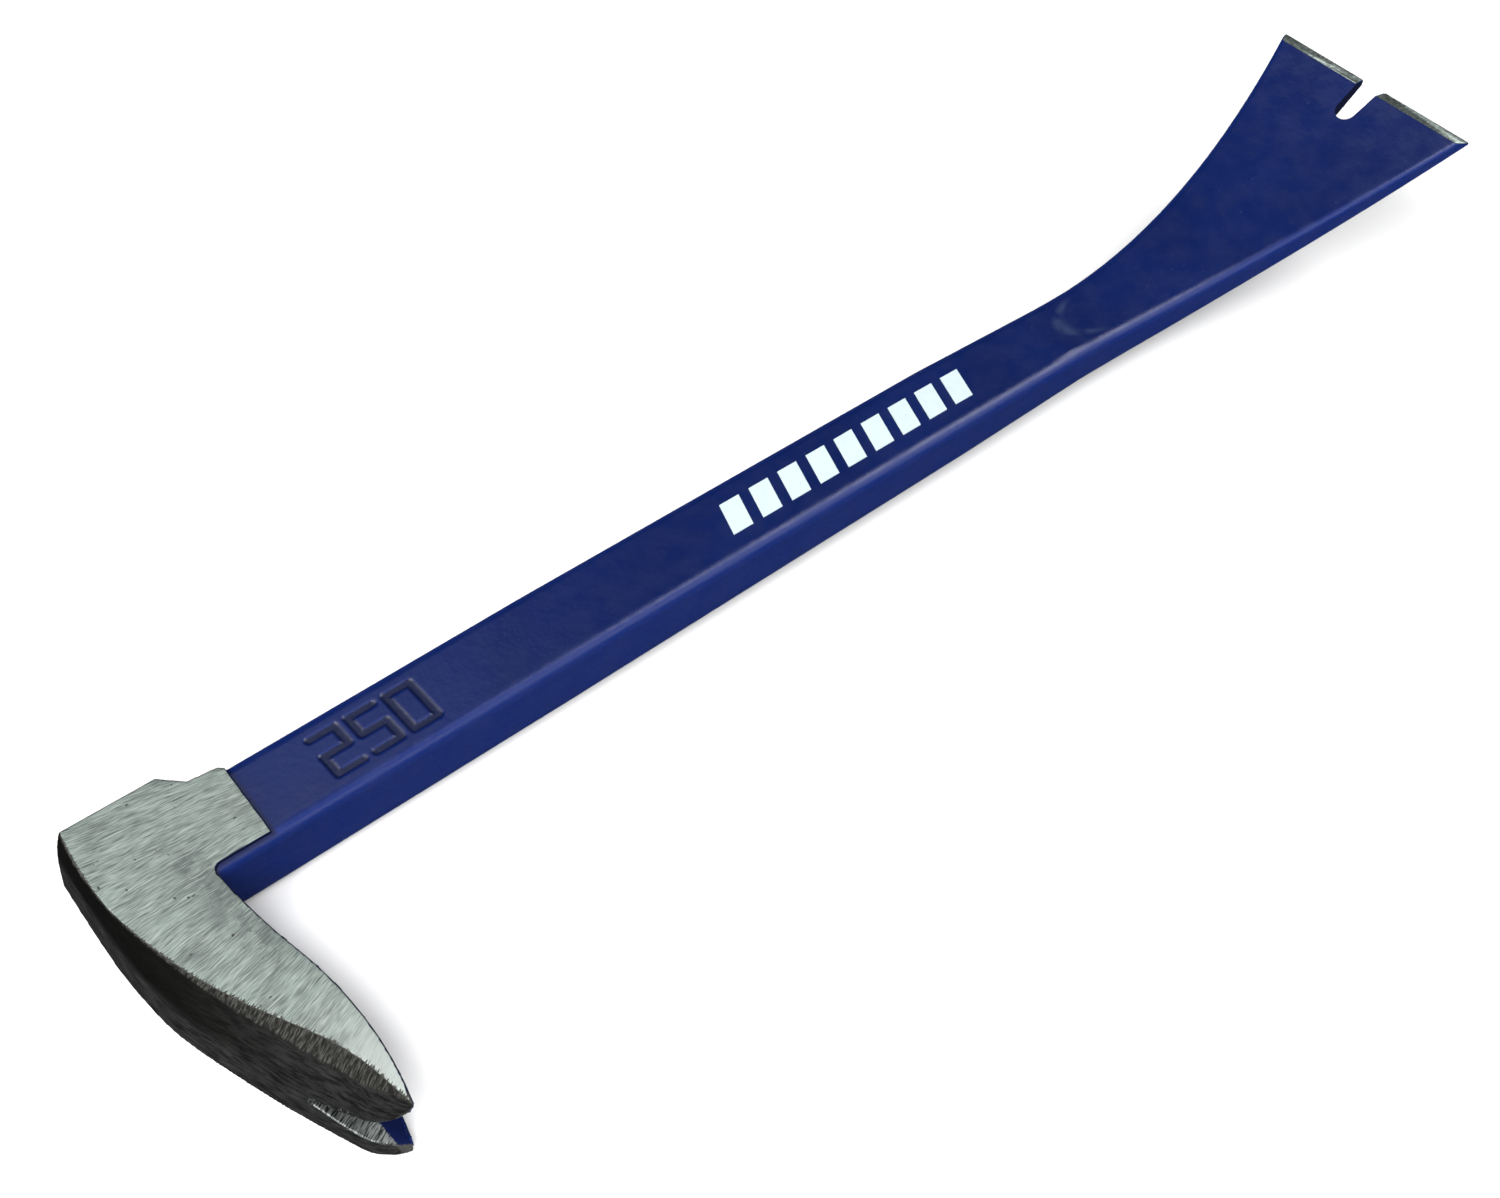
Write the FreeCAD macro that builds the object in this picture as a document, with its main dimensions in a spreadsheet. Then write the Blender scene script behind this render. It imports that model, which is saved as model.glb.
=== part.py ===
import FreeCAD, Part
import math
import os

# A one-piece forged pry bar that lies flat. X runs from the claw head to the blade, Y is across
# the shank with the striking poll on its +Y side and the claw on its -Y side, and Z is up.
# The design axes start at the rocker's crown, on the shank's centre line, at the head's
# underside. CENTRE_X and CENTRE_Y then move the origin to the middle of the bounding box's base.
# The bar is one forging: shank, blade and head are forged together, so they are one solid.
# The paint is a closed skin over it, and the printed mark lies on the paint.

Vector = FreeCAD.Vector
doc = FreeCAD.newDocument("pry_bar")

# ---------------------------------------------------------------- driving dimensions (mm)
DIMENSIONS = [
    ("overall_length", 254.0),       # rocker crown to blade edge, a nominal 10 inch tool
    ("shank_width", 12.7),           # at the head
    ("shank_thickness", 10.8),
    ("shank_edge_round", 1.6),
    ("shank_start", 11.0),           # the shank's root, buried in the head
    ("taper_start", 24.0),           # the underside rises from here to the neck
    ("swell_end", 71.0),             # the shank grows a little from taper_start to here
    ("swell_width", 0.45),
    ("swell_height", 0.58),
    ("neck_dip_start", 150.0),       # the upper face dips from here to the neck
    ("neck_dip", 0.9),
    ("neck_place", 186.0),
    ("neck_under_place", 180.0),
    ("neck_under_rise", 3.56),
    ("neck_waist", 0.35),            # each side draws in by this much before the flare
    ("flare_start", 177.0),
    ("flare_radius", 228.0),         # plan radius of both flared sides of the blade
    ("blade_top_radius", 127.9),     # the blade sweeps up along these two arcs
    ("blade_under_radius", 125.9),
    ("blade_edge_round", 0.6),
    ("bevel_length", 2.4),           # ground bevel along the blade's edge
    ("bevel_drop", 0.35),
    ("edge_skew", 2.3),              # degrees; the edge's +Y end lies further back
    ("blade_slot_depth", 9.6),       # from the edge's leading corner
    ("blade_slot_mouth", 4.6),
    ("blade_slot_end", 3.6),
    ("head_thickness", 11.5),
    ("rocker_radius", 92.4),         # the long curve that the head rolls on
    ("rocker_crown_side", -2.9),     # where along Y the rocker's crown lies
    ("poll_reach", 10.0),            # the striking face, from the shank's centre line
    ("poll_length", 15.4),
    ("nub_reach", 6.8),
    ("step_place", 22.5),            # where the ground head ends and the paint begins
    ("step_slant", 0.8),
    ("head_side_line", 5.6),         # the ground face stops here on the claw side
    ("inner_face", 13.8),            # the claw's inner face beside the shank
    ("inner_corner_round", 1.2),
    ("inner_bulge", 16.3),
    ("claw_reach", 47.3),            # claw tips, from the shank's centre line
    ("claw_tip_place", 14.0),
    ("claw_slot_reach", 36.9),       # how far along -Y the nail slot's apex lies
    ("claw_slot_apex", 0.7),
    ("claw_slot_above", 2.1),        # the slot's open end, above and below its middle line
    ("claw_slot_below", 3.6),
    ("claw_slot_length", 11.5),
    ("claw_sink_start", 2.6),        # the V's countersink begins this deep and is this wide
    ("claw_sink_depth", 14.0),       # at each end of its far side
    ("claw_sink_apex", 6.4),
    ("claw_sink_mouth", 15.2),
    ("claw_sink_back", 2.5),
    ("coat", 0.2),                   # paint thickness
    ("ink", 0.08),                   # printed mark thickness
    ("stamp_depth", 0.5),
    ("stamp_stroke", 0.9),
    ("stamp_height", 6.6),
    ("stamp_width", 3.9),
    ("stamp_pitch", 6.0),
    ("stamp_place", 34.2),
    ("print_place", 103.2),
    ("print_block", 3.8),
    ("print_gap", 2.0),
    ("print_height", 5.6),
    ("print_lean", 20.0),            # degrees
]

sheet = doc.addObject("Spreadsheet::Sheet", "sheet")
for row, (alias, number) in enumerate(DIMENSIONS, start=1):
    sheet.set("A%d" % row, alias)
    sheet.set("B%d" % row, str(number))
    sheet.setAlias("B%d" % row, alias)
doc.recompute()


def size(alias):
    """One driving dimension, read from the sheet."""
    return float(getattr(sheet, alias))


def bind(item, **expressions):
    """Bind properties to sheet expressions; __ in a name stands for a dot."""
    for name, expression in expressions.items():
        item.setExpression(name.replace("__", "."), expression)
    return item


def feature(name, shape):
    """A Part::Feature that holds a shape made by Part's own functions."""
    item = doc.addObject("Part::Feature", name)
    item.Shape = shape
    return item


def boolean(kind, name, base, tool):
    """Part::Cut or Part::Common of two objects."""
    item = doc.addObject(kind, name)
    item.Base = base
    item.Tool = tool
    return item


def joined(kind, name, shapes):
    """Part::MultiFuse or Part::Compound of several objects."""
    item = doc.addObject(kind, name)
    if kind == "Part::Compound":
        item.Links = shapes
    else:
        item.Shapes = shapes
    return item


# ---------------------------------------------------------------- shank and blade
SHANK_LOW = (size("head_thickness") - size("shank_thickness")) / 2
SHANK_HIGH = SHANK_LOW + size("shank_thickness")
STATION_COUNTS = [1, 3, 4, 4, 12]
QUARTER_MIDDLE = 1 - math.sqrt(0.5)   # how far a quarter round's middle lies from each side


def arc_rise(distance, radius):
    """How far an arc has left its tangent after a distance along it."""
    if distance <= 0:
        return 0.0
    return radius - math.sqrt(radius ** 2 - distance ** 2)


def blend(value, start, end):
    """0 before start, 1 after end, and linear between."""
    return min(1.0, max(0.0, (value - start) / (end - start)))


def bar_limits(x):
    """Half width, underside, top and corner radius of the bar's section at x."""
    neck = size("neck_place")
    neck_under = size("neck_under_place")
    swelling = blend(x, size("taper_start"), size("swell_end"))
    half = (size("shank_width") + size("swell_width") * swelling) / 2
    half -= size("neck_waist") * blend(x, size("neck_dip_start"), size("flare_start"))
    half += arc_rise(x - size("flare_start"), size("flare_radius"))
    low = SHANK_LOW + size("neck_under_rise") * blend(x, size("taper_start"), neck_under)
    low += arc_rise(x - neck_under, size("blade_under_radius"))
    high = SHANK_HIGH + size("swell_height") * swelling
    high -= size("neck_dip") * blend(x, size("neck_dip_start"), neck)
    high += arc_rise(x - neck, size("blade_top_radius"))
    spread = blend(x, neck, size("overall_length"))
    corner = size("shank_edge_round") * (1 - spread) + size("blade_edge_round") * spread
    return half, low, high, corner


def bar_section(x, skin):
    """Rounded rectangle across the bar at x, grown all round by skin."""
    half, low, high, corner = bar_limits(x)
    half += skin
    low -= skin
    high += skin
    corner += skin
    diagonal = corner * QUARTER_MIDDLE
    edges = []
    corners = [(half, low, -1, 1), (half, high, -1, -1), (-half, high, 1, -1), (-half, low, 1, 1)]
    starts = []
    for index, (y, z, inward_y, inward_z) in enumerate(corners):
        along_y = Vector(x, y + inward_y * corner, z)
        along_z = Vector(x, y, z + inward_z * corner)
        middle = Vector(x, y + inward_y * diagonal, z + inward_z * diagonal)
        first, last = (along_y, along_z) if index % 2 == 0 else (along_z, along_y)
        edges.append(Part.Arc(first, middle, last).toShape())
        starts.append((first, last))
    loop = []
    for index, edge in enumerate(edges):
        loop.append(edge)
        following = starts[(index + 1) % len(starts)][0]
        loop.append(Part.LineSegment(starts[index][1], following).toShape())
    return Part.Wire(loop)


def bar_stations():
    """Places along X for the loft's sections."""
    names = ["shank_start", "taper_start", "swell_end", "neck_dip_start", "neck_place",
             "overall_length"]
    marks = [size(name) for name in names]
    stations = [marks[0]]
    for start, end, count in zip(marks, marks[1:], STATION_COUNTS):
        stations += [start + (end - start) * step / count for step in range(1, count + 1)]
    return stations


def bar_blank(name, skin):
    """Shank and blade as one loft, bare or grown by a skin."""
    sections = [bar_section(x, skin) for x in bar_stations()]
    return feature(name, Part.makeLoft(sections, True, False))


# ---------------------------------------------------------------- claw head
def rocker(y):
    """X of the rocker's plain arc at y."""
    return arc_rise(abs(y - size("rocker_crown_side")), size("rocker_radius"))


POLL_SPARE = 0.5                 # forged beyond the striking face, then ground off flat
POLL_Y = size("poll_reach") + POLL_SPARE
# Points of the rocker side, from poll to claw: where along Y, then how far back from the plain
# arc the surface lies at half height and at the ground upper face.
ROCKER_MARKS = [
    (POLL_Y, 0.0, 0.9),
    (-3.0, 0.0, 0.5),
    (-18.4, -0.5, 2.6),
    (-26.3, 0.0, 4.3),
    (-34.3, 0.0, 5.8),
    (-40.0, 0.0, 5.2),
]
TIP_TURN = 2.4                   # the last mark lies this far before the tip
TIP_TURN_BACK = 3.55
UNDERSIDE_SHARE = 0.05           # the underside is ground back much less than the top
TIP_RECESS = 1.3                 # between the prongs the edge lies this much further in
HEAD_LEVELS = [-1.0, -0.55, 0.0, 0.4, 0.74, 1.0]
# Points of the claw's inner side, from the bulge near its tip to the throat by the shank.
INNER_MARKS = [
    (size("inner_bulge"), -29.5),
    (size("inner_face") + 1.75, -22.5),
    (size("inner_face") + 0.6, -15.0),
]
NUB_FOOT = (2.9, 0.4)            # the nub's foot, back from the poll and out from the nub
STEP_INSET = 0.2                 # the step's +Y end lies this far inside the shank's side


def inner_side(tip, root, z, offset=0.0):
    """Two arcs along the claw's inner side, from its tip to its root."""
    bulge, waist, throat = [Vector(x + offset, y, z) for x, y in INNER_MARKS]
    return [Part.Arc(tip, bulge, waist).toShape(), Part.Arc(waist, throat, root).toShape()]


def head_wire(level):
    """Head outline at one level: -1 is the underside, 0 the middle and 1 the top."""
    z = size("head_thickness") * (1 + level) / 2
    crown = level ** 2 * (1.0 if level > 0 else UNDERSIDE_SHARE)
    rocker_side = [Vector(rocker(y) + middle + (top - middle) * crown, y, z)
                   for y, middle, top in ROCKER_MARKS]
    heel = rocker_side[0]
    tip_y = -size("claw_reach") + TIP_RECESS * (1 - level ** 2)
    tip = Vector(size("claw_tip_place"), tip_y, z)
    turn_y = tip_y + TIP_TURN
    rocker_side += [Vector(rocker(turn_y) + TIP_TURN_BACK * crown, turn_y, z), tip]
    rocker_curve = Part.BSplineCurve()
    rocker_curve.interpolate(rocker_side)
    inner = size("inner_face")
    side = -size("head_side_line")
    rounding = size("inner_corner_round")
    middle_of_round = rounding * QUARTER_MIDDLE
    below = Vector(inner, side - rounding, z)
    corner = Vector(inner + middle_of_round, side - middle_of_round, z)
    beside = Vector(inner + rounding, side, z)
    step = size("step_place")
    edges = [rocker_curve.toShape()] + inner_side(tip, below, z)
    edges.append(Part.Arc(below, corner, beside).toShape())
    rest = [
        beside,
        Vector(step, side, z),
        Vector(step + size("step_slant"), size("shank_width") / 2 - STEP_INSET, z),
        Vector(step, size("nub_reach"), z),
        Vector(size("poll_length") + NUB_FOOT[0], size("nub_reach") + NUB_FOOT[1], z),
        Vector(size("poll_length") - POLL_SPARE, POLL_Y, z),
        heel,
    ]
    for start, end in zip(rest, rest[1:]):
        edges.append(Part.LineSegment(start, end).toShape())
    return Part.Wire(edges)


head_loft = feature("head_loft", Part.makeLoft([head_wire(u) for u in HEAD_LEVELS], True, False))
poll_grinding = doc.addObject("Part::Box", "poll_grinding")
bind(poll_grinding, Length="40", Width="10", Height="2 * sheet.head_thickness")
bind(poll_grinding, Placement__Base__x="-10", Placement__Base__y="sheet.poll_reach")
bind(poll_grinding, Placement__Base__z="-sheet.head_thickness / 2")
head_blank = boolean("Part::Cut", "head_blank", head_loft, poll_grinding)

# ---------------------------------------------------------------- nail slots
MIDDLE_Z = size("head_thickness") / 2


def claw_frame():
    """Placement at the claw slot's apex: X through the claw, Y towards its tips."""
    apex_y = -size("claw_slot_reach")
    apex = Vector(rocker(apex_y), apex_y, MIDDLE_Z)
    centre = Vector(size("rocker_radius"), size("rocker_crown_side"), MIDDLE_Z)
    through = (centre - apex).normalize()
    upward = Vector(0, 0, -1)
    along = upward.cross(through)
    return FreeCAD.Placement(apex, FreeCAD.Rotation(through, along, upward, "ZXY"))


def claw_slot():
    """V slot between the prongs, as a wedge that runs out past the tips."""
    slot = doc.addObject("Part::Wedge", "claw_slot")
    slot.Placement = claw_frame()
    bind(slot, Xmin="-2", Xmax="16", X2min="-2", X2max="16")
    bind(slot, Ymin="0", Ymax="sheet.claw_slot_length")
    bind(slot, Zmin="-sheet.claw_slot_apex / 2", Zmax="sheet.claw_slot_apex / 2")
    bind(slot, Z2min="-sheet.claw_slot_above", Z2max="sheet.claw_slot_below")
    return slot


def claw_countersink():
    """The V's countersink on the claw's inner side, wider towards the inner face."""
    end = size("claw_slot_length")
    near = [size("claw_slot_apex") / 2, size("claw_slot_above"), size("claw_slot_below")]
    far = [size("claw_sink_apex") / 2, size("claw_sink_mouth") / 2, size("claw_sink_mouth") / 2]
    outline = []
    for depth, back, widths in ((size("claw_sink_start"), 0.0, near),
                                (size("claw_sink_depth"), -size("claw_sink_back"), far)):
        apex, above, below = widths
        corners = [Vector(depth, back, -apex), Vector(depth, end, -above)]
        corners += [Vector(depth, end, below), Vector(depth, back, apex)]
        outline.append(Part.makePolygon(corners + corners[:1]))
    sink = feature("claw_countersink", Part.makeLoft(outline, True, True))
    sink.Placement = claw_frame()
    return sink


def blade_slot(name, grow):
    """Tapered slot with a round end in the blade's edge; grow is an expression in mm."""
    end_radius = "(sheet.blade_slot_end / 2 + %s)" % grow
    centre_x = "(sheet.overall_length - sheet.blade_slot_depth + sheet.blade_slot_end / 2)"
    hole = doc.addObject("Part::Cylinder", name + "_end")
    bind(hole, Radius=end_radius, Height="30", Placement__Base__x=centre_x, Placement__Base__z="10")
    way = doc.addObject("Part::Wedge", name + "_way")
    bind(way, Xmin="-%s" % end_radius, Xmax=end_radius, Zmin="10", Zmax="40", Z2min="10", Z2max="40")
    bind(way, X2min="-(sheet.blade_slot_mouth / 2 + %s)" % grow)
    bind(way, X2max="sheet.blade_slot_mouth / 2 + %s" % grow)
    bind(way, Ymin="0", Ymax="sheet.blade_slot_depth - sheet.blade_slot_end / 2 + 0.01")
    way.Placement.Rotation = FreeCAD.Rotation(Vector(0, 0, 1), -90)
    bind(way, Placement__Base__x=centre_x)
    return joined("Part::MultiFuse", name, [hole, way])


# ---------------------------------------------------------------- blade bevel
EDGE_OVERLAP = 8.0               # the grinding boxes start this far beyond the blade's side


def edge_cut(name, back, forward_drop, spare):
    """Box that grinds along the blade's skewed edge, from its lower rear line forward and up.

    That line starts back mm behind the leading corner and spare mm below the top; the box's
    floor falls by forward_drop per mm.
    """
    start_x = size("overall_length") - back
    half, low, high, corner = bar_limits(start_x)
    run = start_x - size("neck_place")
    slope = run / math.sqrt(size("blade_top_radius") ** 2 - run ** 2)
    skew = math.radians(size("edge_skew"))
    along = Vector(-math.sin(skew), math.cos(skew), -slope * math.sin(skew)).normalize()
    forward = Vector(math.cos(skew), math.sin(skew), -forward_drop)
    upward = forward.cross(along).normalize()
    box = doc.addObject("Part::Box", name)
    bind(box, Length="15", Width="60", Height="30")
    rotation = FreeCAD.Rotation(along.cross(upward), along, upward, "ZYX")
    start = Vector(start_x, -half, high) - along * EDGE_OVERLAP - upward * spare
    box.Placement = FreeCAD.Placement(start, rotation)
    return box


# ---------------------------------------------------------------- stamped size number
# Each stroke of a plain digit: start and end as shares of the digit's width and height.
TOP, UPPER_LEFT, UPPER_RIGHT = (0, 1, 1, 1), (0, 0.5, 0, 1), (1, 0.5, 1, 1)
MIDDLE, LOWER_LEFT, LOWER_RIGHT, BASE = (0, 0.5, 1, 0.5), (0, 0, 0, 0.5), (1, 0, 1, 0.5), (0, 0, 1, 0)
DIGITS = {
    "2": [TOP, UPPER_RIGHT, MIDDLE, LOWER_LEFT, BASE],
    "5": [TOP, UPPER_LEFT, MIDDLE, LOWER_RIGHT, BASE],
    "0": [TOP, UPPER_LEFT, UPPER_RIGHT, LOWER_LEFT, LOWER_RIGHT, BASE],
}
SIZE_NUMBER = "250"              # the tool's nominal length in mm


def stamp(name, grow):
    """Cutter for the stamped number; grow is an expression in mm for the stroke's sides."""
    strokes = []
    for place, digit in enumerate(SIZE_NUMBER):
        for number, (x1, y1, x2, y2) in enumerate(DIGITS[digit]):
            stroke = doc.addObject("Part::Box", "%s_%s%d_%d" % (name, digit, place, number))
            half = "(sheet.stamp_stroke / 2 + %s)" % grow
            left = "sheet.stamp_place + %d * sheet.stamp_pitch + %g * sheet.stamp_width" % (place, x1)
            base = "sheet.stamp_height * %g" % (y1 - 0.5)
            bind(stroke, Length="%g * sheet.stamp_width + 2 * %s" % (x2 - x1, half))
            bind(stroke, Width="%g * sheet.stamp_height + 2 * %s" % (y2 - y1, half))
            bind(stroke, Height="2")
            bind(stroke, Placement__Base__x="%s - %s" % (left, half))
            bind(stroke, Placement__Base__y="%s - %s" % (base, half))
            bind(stroke, Placement__Base__z="%g - sheet.stamp_depth - %s" % (SHANK_HIGH, grow))
            strokes.append(stroke)
    return joined("Part::MultiFuse", name, strokes)


# ---------------------------------------------------------------- the forging
bare_blank = bar_blank("bare_blank", 0.0)
forged_blank = joined("Part::MultiFuse", "forged_blank", [bare_blank, head_blank])
claw_cuts = joined("Part::MultiFuse", "claw_cuts", [claw_slot(), claw_countersink()])
bevel_fall = size("bevel_drop") / size("bevel_length")
edge_cuts = joined("Part::MultiFuse", "edge_cuts", [
    edge_cut("blade_bevel", size("bevel_length"), bevel_fall, 0.0),
    edge_cut("blade_end", 0.0, 0.0, 15.0)])
# The bare slot and stamp are wider by the paint that covers their walls.
bare_cuts = joined("Part::Compound", "bare_cuts", [
    claw_cuts, edge_cuts, blade_slot("bare_slot", "sheet.coat"), stamp("bare_stamp", "sheet.coat")])
forged_bar = boolean("Part::Cut", "forged_bar", forged_blank, bare_cuts)

# ---------------------------------------------------------------- the paint
SKIN_TIP = Vector(size("claw_tip_place") + 0.7, -45.2, 0)
SKIN_BURIED = 0.4                # the slab reaches this far into the steel before it is cut
SKIN_SHARE = 0.9                 # of the head's thickness; the ground faces' edges stay bare


def inner_face_skin():
    """Slab along the claw's inner face, from just inside it to a coat outside it."""
    low = size("head_thickness") * (1 - SKIN_SHARE) / 2
    root = Vector(size("inner_face"), -size("head_side_line") - 0.3, 0)
    ends = []
    edges = []
    for offset in (size("coat"), -SKIN_BURIED):
        shift = Vector(offset, 0, low)
        edges += inner_side(SKIN_TIP + shift, root + shift, low, offset)
        ends.append((SKIN_TIP + shift, root + shift))
    edges += [Part.LineSegment(first, last).toShape() for first, last in zip(*ends)]
    face = Part.Face(Part.Wire(Part.__sortEdges__(edges)))
    return feature("inner_face_skin", face.extrude(Vector(0, 0, size("head_thickness") * SKIN_SHARE)))


painted_blank = joined("Part::MultiFuse", "painted_blank",
                       [bar_blank("painted_bar", size("coat")), inner_face_skin()])
painted_cuts = joined("Part::Compound", "painted_cuts", [
    claw_cuts, edge_cuts, blade_slot("painted_slot", "0"), stamp("painted_stamp", "0")])
painted_body = boolean("Part::Cut", "painted_body", painted_blank, painted_cuts)
blue_coating = boolean("Part::Cut", "blue_coating", painted_body, forged_bar)

# ---------------------------------------------------------------- the printed mark
# A plain row of equal leaning blocks.
PRINT_BLOCKS = 9


def print_blocks():
    """Leaning prisms that stand through the top of the shank."""
    blocks = []
    lean = math.tan(math.radians(size("print_lean"))) * size("print_height")
    pitch = size("print_block") + size("print_gap")
    bottom = -size("print_height") / 2
    for number in range(PRINT_BLOCKS):
        x = size("print_place") + number * pitch
        corners = [Vector(x, bottom, 8), Vector(x + size("print_block"), bottom, 8)]
        corners += [Vector(x + size("print_block") + lean, -bottom, 8), Vector(x + lean, -bottom, 8)]
        face = Part.Face(Part.makePolygon(corners + corners[:1]))
        blocks.append(face.extrude(Vector(0, 0, 6)))
    return feature("print_blocks", Part.makeCompound(blocks))


inked_blank = bar_blank("inked_bar", size("coat") + size("ink"))
ink_shell = boolean("Part::Cut", "ink_shell", inked_blank, painted_blank)
printed_mark = boolean("Part::Common", "printed_mark", ink_shell, print_blocks())

# ---------------------------------------------------------------- check and write
SUB_PARTS = [forged_bar, blue_coating, printed_mark]
for sub_part in SUB_PARTS:
    sub_part.Label = sub_part.Name
doc.recompute()

for item in doc.Objects:
    if "Invalid" in item.State or "Error" in item.State:
        raise RuntimeError("failed: " + item.Name)

CENTRE_X = size("overall_length") / 2
BLADE_SIDE = bar_limits(size("overall_length"))[0] + size("coat")
CENTRE_Y = (BLADE_SIDE - size("claw_reach")) / 2
os.makedirs("parts", exist_ok=True)
for sub_part in SUB_PARTS:
    shape = sub_part.Shape.copy()
    if shape.isNull() or not shape.isValid():
        raise RuntimeError("bad shape: " + sub_part.Label)
    box = shape.BoundBox
    print(sub_part.Label, "solids", len(shape.Solids), "volume %.1f" % shape.Volume,
          "box", [round(v, 2) for v in (box.XMin, box.YMin, box.ZMin, box.XMax, box.YMax, box.ZMax)])
    shape.translate(Vector(-CENTRE_X, -CENTRE_Y, 0))
    shape.exportStep("parts/%s.step" % sub_part.Label)
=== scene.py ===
import math

import bmesh
import bpy
import numpy as np
from mathutils import Matrix, Vector, noise


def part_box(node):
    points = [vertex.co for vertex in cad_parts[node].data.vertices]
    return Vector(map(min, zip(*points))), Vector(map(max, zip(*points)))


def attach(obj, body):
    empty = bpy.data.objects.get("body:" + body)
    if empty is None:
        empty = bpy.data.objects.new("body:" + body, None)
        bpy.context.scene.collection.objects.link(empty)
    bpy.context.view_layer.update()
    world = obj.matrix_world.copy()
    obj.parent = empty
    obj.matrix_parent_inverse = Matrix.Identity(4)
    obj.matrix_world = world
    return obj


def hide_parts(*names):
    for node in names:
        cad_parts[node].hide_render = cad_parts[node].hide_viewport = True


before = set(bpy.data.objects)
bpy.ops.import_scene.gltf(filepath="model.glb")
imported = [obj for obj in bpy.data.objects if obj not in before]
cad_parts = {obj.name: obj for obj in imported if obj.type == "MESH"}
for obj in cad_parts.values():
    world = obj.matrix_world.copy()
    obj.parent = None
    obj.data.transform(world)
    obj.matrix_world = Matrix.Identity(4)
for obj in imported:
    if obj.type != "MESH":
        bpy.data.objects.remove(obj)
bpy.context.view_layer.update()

# All sizes below are millimetres on the part's own design axes: X runs from the rocker's crown
# to the blade's edge, Y is measured from the shank's centre line and Z from the head's underside.
MM = 0.001
OVERALL_LENGTH = 254.0
CLAW_REACH = 47.3
HEAD_THICKNESS = 11.5
bar_low, bar_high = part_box("forged_bar")
ORIGIN = Vector((bar_high.x / MM - OVERALL_LENGTH, bar_low.y / MM + CLAW_REACH, 0.0))


def place(points):
    """Design points in millimetres as row-frame points in metres."""
    return (np.asarray(points, float) + np.array(ORIGIN)) * MM


# ---------------------------------------------------------------- the bar's section
SHANK_WIDTH = 12.7
SHANK_THICKNESS = 10.8
EDGE_ROUND = 1.6
BLADE_EDGE_ROUND = 0.6
COAT = 0.2
ROCKER_RADIUS = 92.4
ROCKER_CROWN_SIDE = -2.9
TAPER_START = 24.0
SWELL_END = 71.0
SWELL_WIDTH = 0.45
SWELL_HEIGHT = 0.58
NECK_DIP_START = 150.0
NECK_DIP = 0.9
NECK = 186.0
NECK_UNDER = 180.0
NECK_UNDER_RISE = 3.56
NECK_WAIST = 0.35
FLARE_START = 177.0
FLARE_RADIUS = 228.0
BLADE_TOP_RADIUS = 127.9
BLADE_UNDER_RADIUS = 125.9


def arc_rise(distance, radius):
    """How far an arc has left its tangent after a distance along it."""
    distance = np.maximum(distance, 0.0)
    return radius - np.sqrt(radius ** 2 - distance ** 2)


def blend(value, start, end):
    """0 before start, 1 after end, and linear between."""
    return np.clip((value - start) / (end - start), 0.0, 1.0)


def smooth(value):
    """Smoothstep of a share between 0 and 1."""
    value = np.clip(value, 0.0, 1.0)
    return value * value * (3 - 2 * value)


def bar_limits(x):
    """Half width, underside, top and corner radius of the forged bar at x."""
    swelling = blend(x, TAPER_START, SWELL_END)
    half = (SHANK_WIDTH + SWELL_WIDTH * swelling) / 2
    half = half - NECK_WAIST * blend(x, NECK_DIP_START, FLARE_START)
    half = half + arc_rise(x - FLARE_START, FLARE_RADIUS)
    shank_low = (HEAD_THICKNESS - SHANK_THICKNESS) / 2
    low = shank_low + NECK_UNDER_RISE * blend(x, TAPER_START, NECK_UNDER)
    low = low + arc_rise(x - NECK_UNDER, BLADE_UNDER_RADIUS)
    high = shank_low + SHANK_THICKNESS + SWELL_HEIGHT * swelling
    high = high - NECK_DIP * blend(x, NECK_DIP_START, NECK) + arc_rise(x - NECK, BLADE_TOP_RADIUS)
    spread = blend(x, NECK, OVERALL_LENGTH)
    corner = EDGE_ROUND * (1 - spread) + BLADE_EDGE_ROUND * spread
    return half, low, high, corner


# ---------------------------------------------------------------- mesh helpers
def make_object(name, mesh):
    """Object of a mesh, in the scene."""
    piece = bpy.data.objects.new(name, mesh)
    bpy.context.scene.collection.objects.link(piece)
    return piece


def apply_modifiers(piece):
    """Make an object's modifiers part of its mesh."""
    depsgraph = bpy.context.evaluated_depsgraph_get()
    mesh = bpy.data.meshes.new_from_object(piece.evaluated_get(depsgraph))
    piece.modifiers.clear()
    piece.data = mesh
    return piece


def coordinates(mesh):
    """A mesh's points as an array."""
    points = np.empty(len(mesh.vertices) * 3)
    mesh.vertices.foreach_get("co", points)
    return points.reshape(-1, 3)


def normals(mesh):
    """A mesh's point normals as an array."""
    directions = np.empty(len(mesh.vertices) * 3, dtype=np.float32)
    mesh.vertex_normals.foreach_get("vector", directions)
    return directions.reshape(-1, 3)


def move_points(mesh, points):
    """Give a mesh new points."""
    mesh.vertices.foreach_set("co", np.asarray(points, dtype=np.float32).ravel())
    mesh.update()


def noise_at(points, scale, seed=0.0):
    """Perlin noise, about -1 to 1, at design points; scale is in cells per millimetre."""
    shift = Vector((seed * 17.3, seed * 5.1, seed * 9.7))
    return np.array([noise.noise(Vector(point) * scale + shift) for point in points])


def finish_piece(piece, replaced, material):
    """Ride on the one body, stand for its CAD node and wear its material."""
    piece.data.materials.clear()
    piece.data.materials.append(material)
    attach(piece, "root")
    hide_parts(replaced)


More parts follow.
